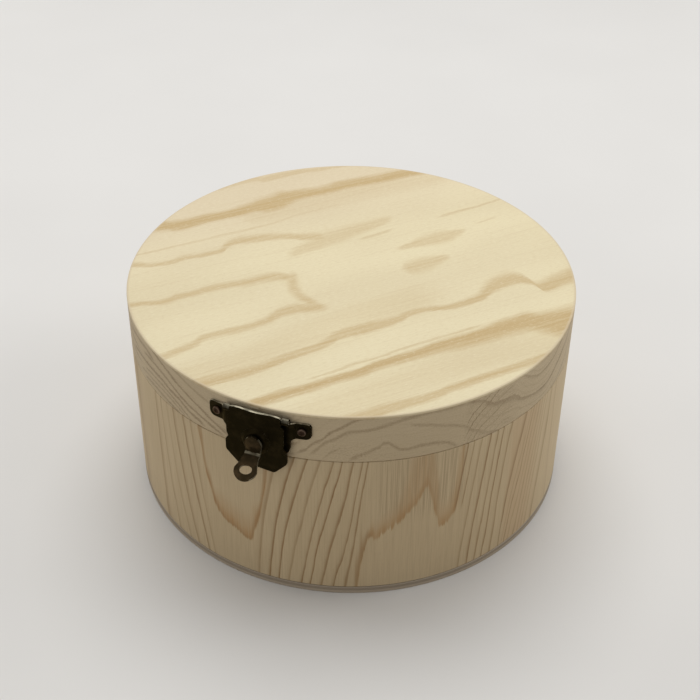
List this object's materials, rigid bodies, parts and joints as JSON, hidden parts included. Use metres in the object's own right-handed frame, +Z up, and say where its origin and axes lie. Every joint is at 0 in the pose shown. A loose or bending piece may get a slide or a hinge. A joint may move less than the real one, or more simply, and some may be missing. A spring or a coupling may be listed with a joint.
{
  "type": "round hinged keepsake box",
  "caption": "Round hinged wooden keepsake box with a lobed hasp and turn tongue at the front and a butt hinge at the back.",
  "frame": {"origin": "centre of the round underside", "axes": "+Z up through the lid, -Y towards the hasp at the front, +Y towards the hinge, +X to the right seen from the front"},
  "size_m": [0.18, 0.1994, 0.0891],
  "materials": {
    "base_ply": "bare sanded pine ply",
    "wall_wood": "bare sanded pine with upright grain",
    "band_wood": "bare sanded pine with grain running round the lid",
    "top_ply": "bare sanded rotary-cut pine ply",
    "black_bronze": "blackened antique bronze plating, worn at the edges",
    "brown_bronze": "brown antique bronze plating",
    "worn_bronze": "antique bronze plating worn by turning",
    "screw_bronze": "reddish antique bronze plating"
  },
  "bodies": {
    "body": {"base_disc": "base_ply", "body_wall": "wall_wood", "keeper_plate": "black_bronze", "keeper_screw_left": "screw_bronze", "keeper_screw_right": "screw_bronze", "hinge_body_leaf": "black_bronze", "hinge_pin": "worn_bronze", "hinge_body_screw_left": "screw_bronze", "hinge_body_screw_right": "screw_bronze"},
    "lid": {"lid_band": "band_wood", "lid_panel": "top_ply", "hasp_plate": "black_bronze", "hasp_pin": "worn_bronze", "hasp_screw_left": "screw_bronze", "hasp_screw_right": "screw_bronze", "hinge_lid_leaf": "black_bronze", "hinge_lid_screw_left": "screw_bronze", "hinge_lid_screw_right": "screw_bronze"},
    "flap": {"hasp_flap": "black_bronze"},
    "tongue": {"turn_tongue": "brown_bronze", "tongue_spindle": "worn_bronze", "tongue_washer": "worn_bronze", "lock_cam": "brown_bronze"}
  },
  "joints": [
    {"name": "lid_hinge", "type": "hinge", "parent": "body", "child": "lid", "pos_m": [0, 0.0918, 0.06815], "axis": [-1, 0, 0], "range_deg": [0, 160]},
    {"name": "hasp_hinge", "type": "hinge", "parent": "lid", "child": "flap", "pos_m": [0, -0.09168, 0.0864], "axis": [-1, 0, 0], "range_deg": [0, 65]},
    {"name": "tongue_swivel", "type": "hinge", "parent": "flap", "child": "tongue", "pos_m": [0, -0.09469, 0.075], "axis": [0, -1, 0], "range_deg": [-90, 90]}
  ]
}
